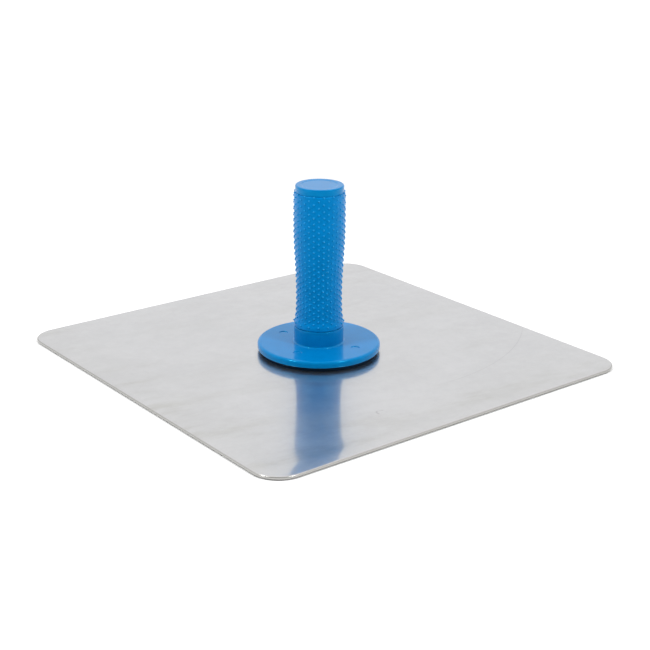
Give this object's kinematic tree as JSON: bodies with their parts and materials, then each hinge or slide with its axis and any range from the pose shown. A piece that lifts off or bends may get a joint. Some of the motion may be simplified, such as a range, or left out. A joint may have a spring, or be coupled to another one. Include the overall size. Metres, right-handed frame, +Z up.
{
  "type": "plasterer's hawk",
  "caption": "Square aluminium plate with rounded corners and an upright round handle on its middle: a disc flange, smooth neck, waisted soft grip with pimples and a plug cap.",
  "frame": {"origin": "centre of the plate's working face, which is the face the tool rests on", "axes": "+Z up along the handle, from the working face to the end cap; X and Y along the plate's edges"},
  "size_m": [0.3, 0.3, 0.1219],
  "materials": {
    "plate": "rolled sheet, satin to bright, with fine streaks and light handling scratches",
    "pad": "matt closed-cell rubber, black",
    "handle": "moulded, semi-gloss, mid blue",
    "grip": "soft moulded rubber, satin, mid blue, with rows of small pimples",
    "cap": "moulded, semi-gloss, mid blue",
    "fastener": "zinc-plated steel"
  },
  "bodies": {
    "root": {"hawk_plate": "plate", "flange_pad": "pad", "handle_core": "handle", "grip_sleeve": "grip", "end_cap": "cap", "clamp_screw": "fastener", "flat_washer": "fastener", "hex_nut": "fastener"}
  },
  "joints": []
}
